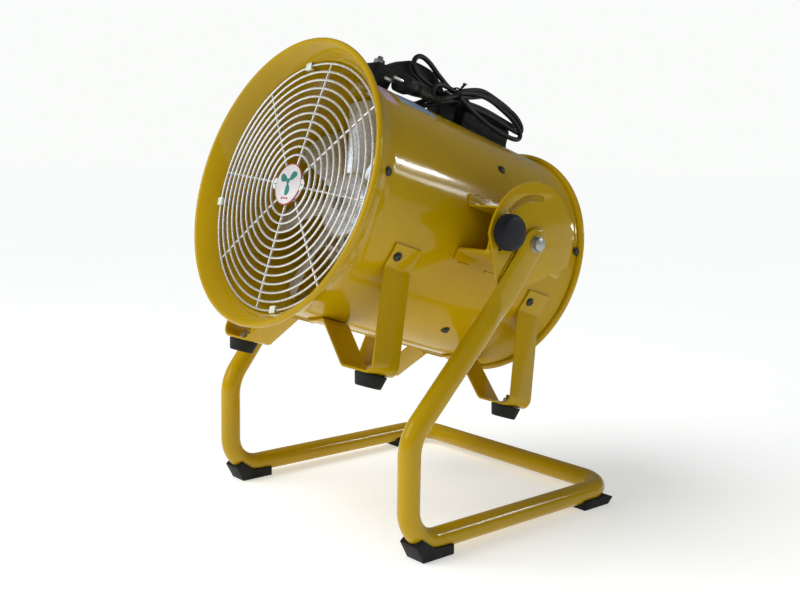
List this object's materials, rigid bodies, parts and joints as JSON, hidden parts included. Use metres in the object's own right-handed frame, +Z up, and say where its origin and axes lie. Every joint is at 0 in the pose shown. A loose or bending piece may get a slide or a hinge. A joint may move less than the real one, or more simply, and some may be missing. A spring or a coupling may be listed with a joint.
{
  "type": "portable axial ventilator",
  "caption": "Portable axial ventilator: bell-mouthed steel drum with wire guards, motor and bladed impeller, tilting on a bent-tube cradle stand, with handle, cord and clamp knobs.",
  "frame": {"origin": "floor, under the centre of the bounding box of everything but the cord, plug and tie", "axes": "+Z up, the bell mouth faces -Y, +X is the side with the plug; the drum is tilted 17.2 degrees nose up"},
  "size_m": [0.4762, 0.5024, 0.6284],
  "materials": {
    "yellow_paint": "gloss powder coat, ochre yellow",
    "black_rubber": "matte moulded rubber",
    "black_plastic": "satin moulded plastic",
    "bright_wire": "bright plated wire",
    "zinc_steel": "bright zinc plate",
    "cast_aluminium": "as cast",
    "dark_steel": "stacked steel laminations",
    "grey_paint": "satin dark grey",
    "white_enamel": "gloss, off-white",
    "cord_black": "satin black cord jacket",
    "nickel_brass": "nickel-plated"
  },
  "bodies": {
    "stand": {"pivot_bolt_left": "zinc_steel", "pivot_bolt_right": "zinc_steel", "pivot_nut_left": "zinc_steel", "pivot_nut_right": "zinc_steel", "sector_plate_left": "yellow_paint", "sector_plate_right": "yellow_paint", "stand_foot_front_left": "black_rubber", "stand_foot_front_right": "black_rubber", "stand_foot_rear_left": "black_rubber", "stand_foot_rear_right": "black_rubber", "stand_tube": "yellow_paint"},
    "drum": {"badge": "white_enamel", "bearing_front": "zinc_steel", "bearing_rear": "zinc_steel", "cable_gland": "black_plastic", "capacitor": "white_enamel", "clamp_stud_left": "zinc_steel", "clamp_stud_right": "zinc_steel", "cord_hank": "cord_black", "cord_lead": "cord_black", "cord_tail": "cord_black", "drum_shell": "yellow_paint", "foot_bracket_front_left": "yellow_paint", "foot_bracket_front_right": "yellow_paint", "foot_bracket_rear_left": "yellow_paint", "foot_bracket_rear_right": "yellow_paint", "front_grille": "bright_wire", "grille_clip_1": "zinc_steel", "grille_clip_2": "zinc_steel", "grille_clip_3": "zinc_steel", "grille_clip_4": "zinc_steel", "handle": "black_plastic", "handle_bolt_front": "zinc_steel", "handle_bolt_rear": "zinc_steel", "hank_tie": "black_plastic", "motor_end_shield_front": "cast_aluminium", "motor_end_shield_rear": "cast_aluminium", "motor_housing": "grey_paint", "motor_mount": "yellow_paint", "plug_body": "black_plastic", "plug_pin_left": "nickel_brass", "plug_pin_right": "nickel_brass", "rear_guard": "bright_wire", "rubber_foot_front_left": "black_rubber", "rubber_foot_front_right": "black_rubber", "rubber_foot_rear_left": "black_rubber", "rubber_foot_rear_right": "black_rubber", "side_bracket_left": "yellow_paint", "side_bracket_right": "yellow_paint", "stator_core": "dark_steel", "terminal_box": "black_plastic", "terminal_box_lid": "black_plastic"},
    "impeller": {"impeller": "cast_aluminium", "impeller_nut": "zinc_steel", "motor_shaft": "zinc_steel", "rotor_core": "dark_steel"},
    "clamp_knob_right": {"clamp_knob_right": "black_plastic"},
    "clamp_knob_left": {"clamp_knob_left": "black_plastic"}
  },
  "joints": [
    {"name": "drum_tilt", "type": "hinge", "parent": "stand", "child": "drum", "pos_m": [0, 0.0422, 0.376], "axis": [1, 0, 0], "range_deg": [-86.5, 17.2]},
    {"name": "impeller_spin", "type": "hinge", "parent": "drum", "child": "impeller", "pos_m": [0, -0.07243, 0.41148], "axis": [0, -0.9553, 0.2957], "continuous": true},
    {"name": "clamp_knob_right_turn", "type": "hinge", "parent": "drum", "child": "clamp_knob_right", "pos_m": [0.226, -0.01273, 0.393], "axis": [1, 0, 0], "range_deg": [0, 360]},
    {"name": "clamp_knob_left_turn", "type": "hinge", "parent": "drum", "child": "clamp_knob_left", "pos_m": [-0.226, -0.01273, 0.393], "axis": [-1, 0, 0], "range_deg": [0, 360]}
  ]
}
